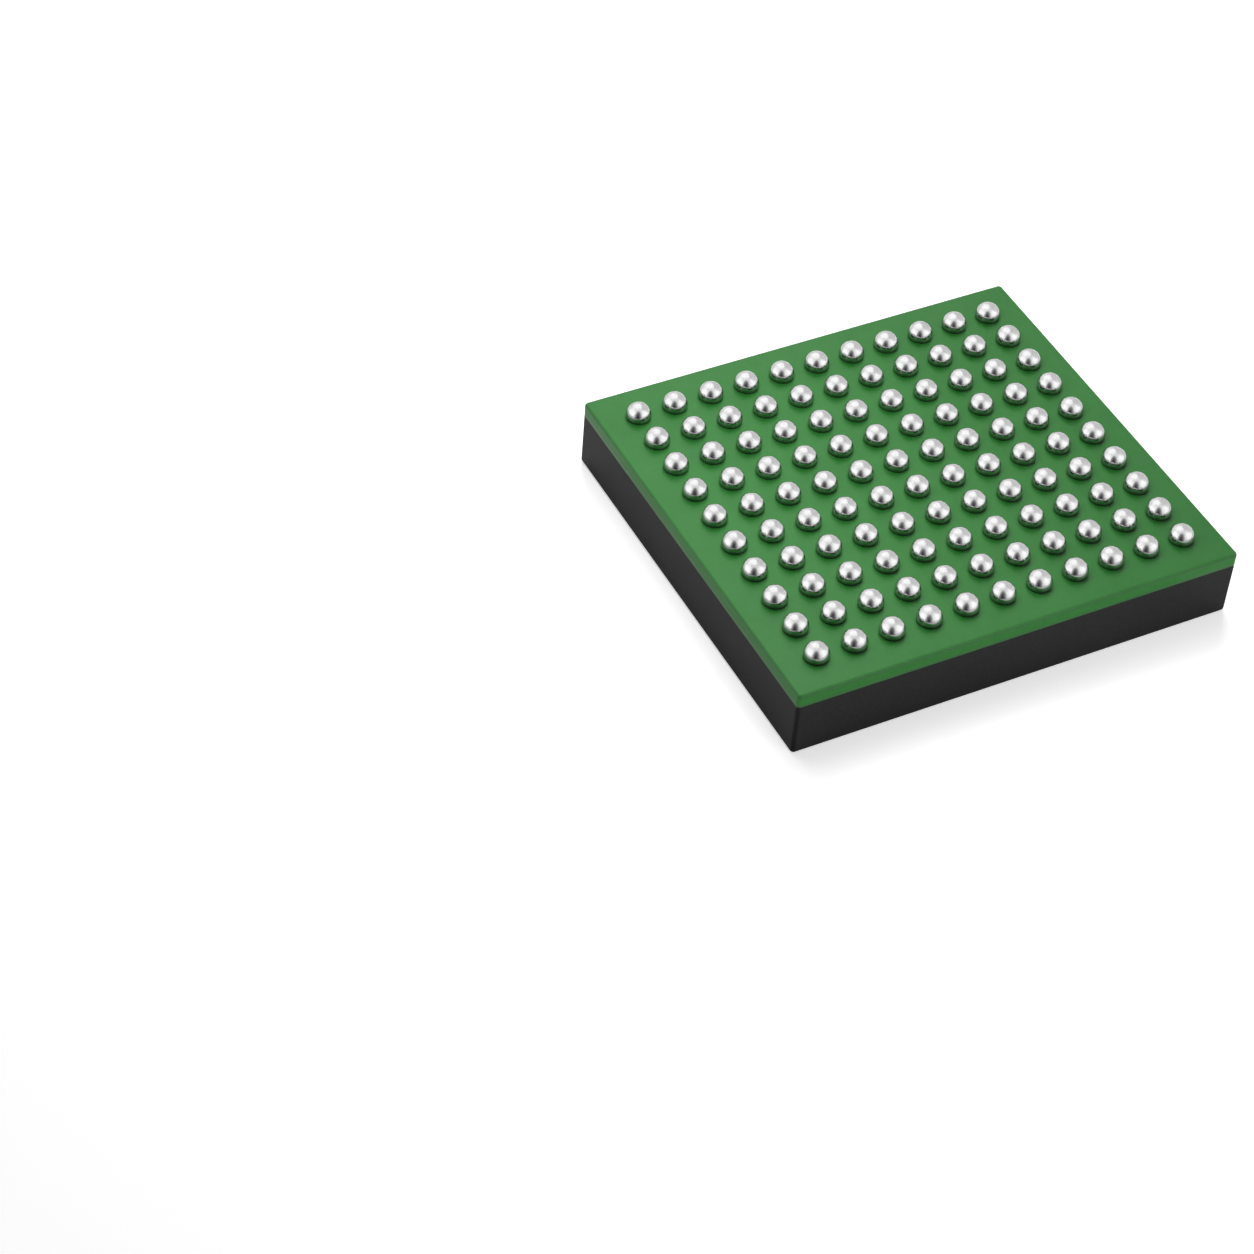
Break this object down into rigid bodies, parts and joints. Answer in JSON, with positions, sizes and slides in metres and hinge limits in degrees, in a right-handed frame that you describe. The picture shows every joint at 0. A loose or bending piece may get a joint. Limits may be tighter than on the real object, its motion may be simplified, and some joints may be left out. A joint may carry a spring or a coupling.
{
  "type": "short-range radio chip",
  "caption": "Moulded ball grid array chip for a short-range radio, lying on its flat mould face with its grid of bright solder balls up.",
  "frame": {"origin": "middle of the mould's flat outer face, on which the chip lies", "axes": "+X along the rows of eleven balls, +Y across them, +Z out of the ball side"},
  "size_m": [0.006, 0.0054, 0.0011],
  "materials": {
    "mould_compound": "fine sparked matt black epoxy",
    "green_mask": "semi-gloss green solder mask",
    "laminate": "sawn green glass-epoxy laminate",
    "solder": "bright reflowed tin solder",
    "copper": "etched and plated copper",
    "plug_resin": "cured via plugging ink",
    "silicon": "polished silicon",
    "adhesive_film": "cured die attach film",
    "gold_wire": "bright drawn gold wire"
  },
  "bodies": {
    "root": {"mould_cap": "mould_compound", "silicon_die": "silicon", "die_attach_film": "adhesive_film", "bond_wires_left": "gold_wire", "bond_wires_right": "gold_wire", "bond_wires_front": "gold_wire", "bond_wires_back": "gold_wire", "ground_wires": "gold_wire", "die_side_mask": "green_mask", "die_side_copper": "copper", "substrate_core": "laminate", "via_barrels": "copper", "via_plugs": "plug_resin", "ball_side_copper": "copper", "ball_side_mask": "green_mask", "solder_balls_row_a": "solder", "solder_balls_row_b": "solder", "solder_balls_row_c": "solder", "solder_balls_row_d": "solder", "solder_balls_row_e": "solder", "solder_balls_row_f": "solder", "solder_balls_row_g": "solder", "solder_balls_row_h": "solder", "solder_balls_row_j": "solder", "solder_balls_row_k": "solder"}
  },
  "joints": []
}
